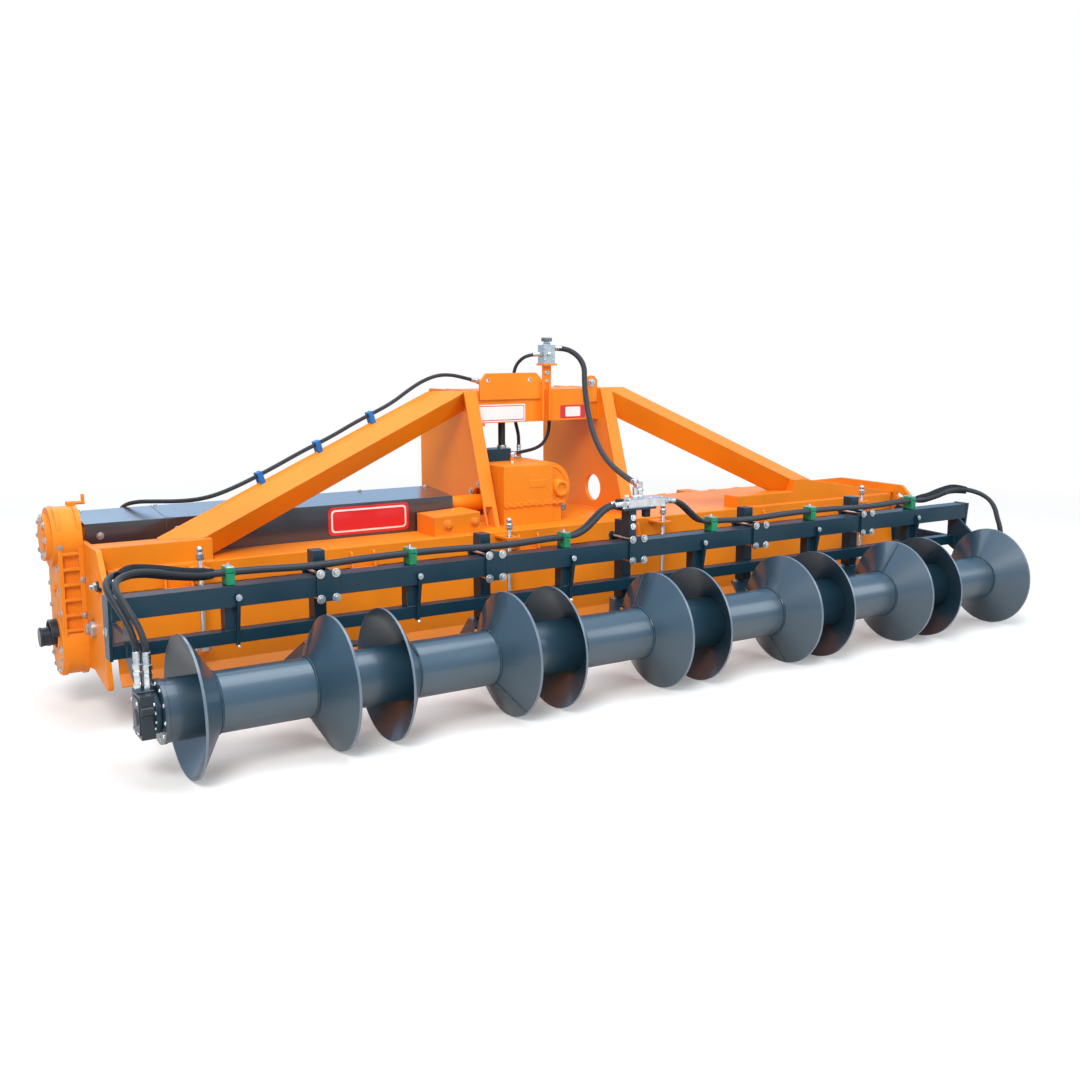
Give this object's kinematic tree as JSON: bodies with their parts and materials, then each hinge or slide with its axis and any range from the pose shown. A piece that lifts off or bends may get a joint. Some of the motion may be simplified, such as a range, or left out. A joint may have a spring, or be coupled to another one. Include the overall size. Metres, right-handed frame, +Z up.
{
  "type": "rotavator",
  "caption": "Mounted rotavator with a side gear drive, three-point mast, hinged tailboard and a driven roller of paired cones that forms raised beds.",
  "frame": {"origin": "on the ground under the middle of the machine: the centre of its box in plan", "axes": "+X to the right looking forward, +Y forward to the tractor, +Z up"},
  "size_m": [4.839, 1.9869, 1.51],
  "materials": {
    "anthracite_paint": "satin",
    "black_hose": "matte",
    "black_plastic": "matte",
    "blade_steel": "satin",
    "blue_plastic": "matte",
    "green_plastic": "matte",
    "orange_paint": "gloss",
    "slate_paint": "satin",
    "zinc": "satin"
  },
  "bodies": {
    "chassis": {"cross_shaft_tube": "orange_paint", "crosshead": "orange_paint", "drive_case": "orange_paint", "drive_cover": "anthracite_paint", "front_girder": "orange_paint", "gearbox": "orange_paint", "hitch_lugs": "orange_paint", "hood": "orange_paint", "hood_members": "orange_paint", "hose_breather": "black_hose", "hose_clips": "blue_plastic", "hose_fittings": "zinc", "hose_gearbox": "black_hose", "hose_strut": "black_hose", "hose_tee": "black_hose", "hose_valve": "black_hose", "hub_cap": "black_plastic", "lifting_hook": "orange_paint", "mast_left": "orange_paint", "mast_right": "orange_paint", "oil_block": "slate_paint", "oil_pipe": "black_plastic", "pivot_pins": "zinc", "pto_guard": "black_plastic", "rod_guides": "orange_paint", "rotor_bearing": "orange_paint", "side_plates": "orange_paint", "stand_brackets": "orange_paint", "struts": "orange_paint", "tailboard_hinges": "orange_paint", "top_link_bracket": "orange_paint", "valve": "zinc", "valve_post": "orange_paint"},
    "rotor": {"rotor_shaft": "blade_steel", "rotor_flanges": "blade_steel", "rotor_blades": "blade_steel"},
    "pto": {"pto_shaft": "zinc"},
    "roller_frame": {"upper_beam": "slate_paint", "lower_beam": "slate_paint", "frame_arms": "slate_paint", "frame_ends": "slate_paint", "roller_arms": "slate_paint", "roller_motors": "slate_paint", "scraper_posts": "slate_paint", "scraper_plates": "slate_paint", "clamp_plates": "slate_paint", "beam_brackets": "slate_paint", "tee_bracket": "slate_paint", "tee_block": "zinc", "hose_clamps": "green_plastic", "hose_beam_left_a": "black_hose", "hose_beam_left_b": "black_hose", "hose_beam_right_a": "black_hose", "hose_beam_right_b": "black_hose"},
    "bed_roller": {"roller_tube": "slate_paint", "roller_cones": "slate_paint"},
    "tailboard": {"tailboard": "orange_paint", "tailboard_rods": "zinc"},
    "stand_left": {"stand_leg_left": "orange_paint"},
    "stand_right": {"stand_leg_right": "orange_paint"}
  },
  "joints": [
    {"name": "rotor_spin", "type": "hinge", "parent": "chassis", "child": "rotor", "pos_m": [0, 0.3085, 0.31], "axis": [-1, 0, 0], "continuous": true},
    {"name": "pto_spin", "type": "hinge", "parent": "chassis", "child": "pto", "pos_m": [0, 0.7085, 0.77], "axis": [0, 1, 0], "continuous": true},
    {"name": "roller_lift", "type": "hinge", "parent": "chassis", "child": "roller_frame", "pos_m": [0, 0.0785, 0.373], "axis": [-1, 0, 0], "range_deg": [-4, 14], "deforming": ["hose_tee"]},
    {"name": "roller_spin", "type": "hinge", "parent": "roller_frame", "child": "bed_roller", "pos_m": [0, -0.7415, 0.252], "axis": [-1, 0, 0], "continuous": true},
    {"name": "tailboard_swing", "type": "hinge", "parent": "chassis", "child": "tailboard", "pos_m": [0, -0.0055, 0.506], "axis": [-1, 0, 0], "range_deg": [-4, 14]},
    {"name": "stand_left_fold", "type": "hinge", "parent": "chassis", "child": "stand_left", "pos_m": [-1.3, 0.7685, 0.53], "axis": [0, 1, 0], "range_deg": [0, 90]},
    {"name": "stand_right_fold", "type": "hinge", "parent": "chassis", "child": "stand_right", "pos_m": [1.3, 0.7685, 0.53], "axis": [0, -1, 0], "range_deg": [0, 90]}
  ],
  "couplings": [
    {"joint": "pto_spin", "follows": "rotor_spin", "ratio": 3.8}
  ]
}
